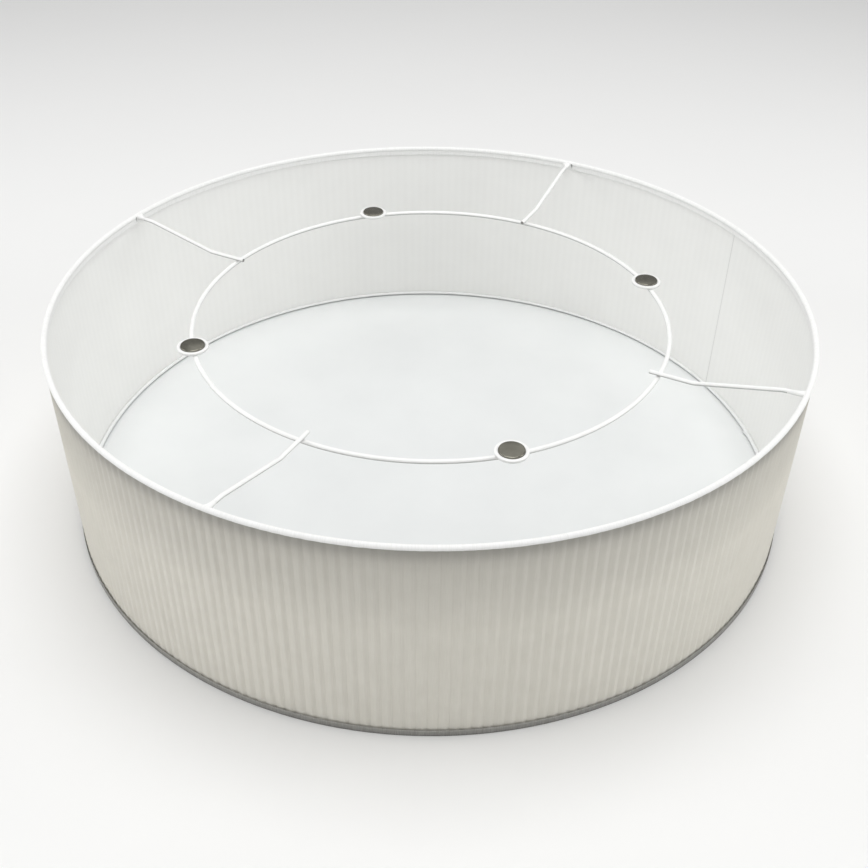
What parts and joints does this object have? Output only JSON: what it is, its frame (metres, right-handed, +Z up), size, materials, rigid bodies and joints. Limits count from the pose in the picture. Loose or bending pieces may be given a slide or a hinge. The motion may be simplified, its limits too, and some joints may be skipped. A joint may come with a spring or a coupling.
{
  "type": "lamp shade",
  "caption": "Round drum ceiling lamp shade: pleated fabric wall on wire rings, closed below by a flat diffuser, open above, held up by magnets on an inner ring.",
  "frame": {"origin": "on the shade's axis, at the surface that the lower edge stands on", "axes": "+Z up along the shade's axis, from the diffuser to the open top; +X and +Y are square to it, with the magnets 16.9 degrees past the axes and the spokes 62.9 degrees past them"},
  "size_m": [0.6, 0.6, 0.1723],
  "materials": {
    "powder_coat": "white powder coat, satin",
    "cup_white": "white enamel, satin",
    "magnet_metal": "polished nickel plate",
    "white_tape": "white ribbed tape",
    "grey_tape": "grey ribbed tape",
    "pleated_fabric": "off-white plisse fabric, matt, translucent",
    "liner_sheet": "white translucent lining sheet",
    "milky_acrylic": "milky translucent acrylic, satin"
  },
  "bodies": {
    "root": {"top_ring": "powder_coat", "magnet_ring": "powder_coat", "bottom_ring": "powder_coat", "spoke_1": "powder_coat", "spoke_2": "powder_coat", "spoke_3": "powder_coat", "spoke_4": "powder_coat", "magnet_cup_1": "cup_white", "magnet_cup_2": "cup_white", "magnet_cup_3": "cup_white", "magnet_cup_4": "cup_white", "magnet_1": "magnet_metal", "magnet_2": "magnet_metal", "magnet_3": "magnet_metal", "magnet_4": "magnet_metal", "liner": "liner_sheet", "pleated_cover": "pleated_fabric", "top_binding": "white_tape", "bottom_binding": "grey_tape", "diffuser": "milky_acrylic"}
  },
  "joints": []
}
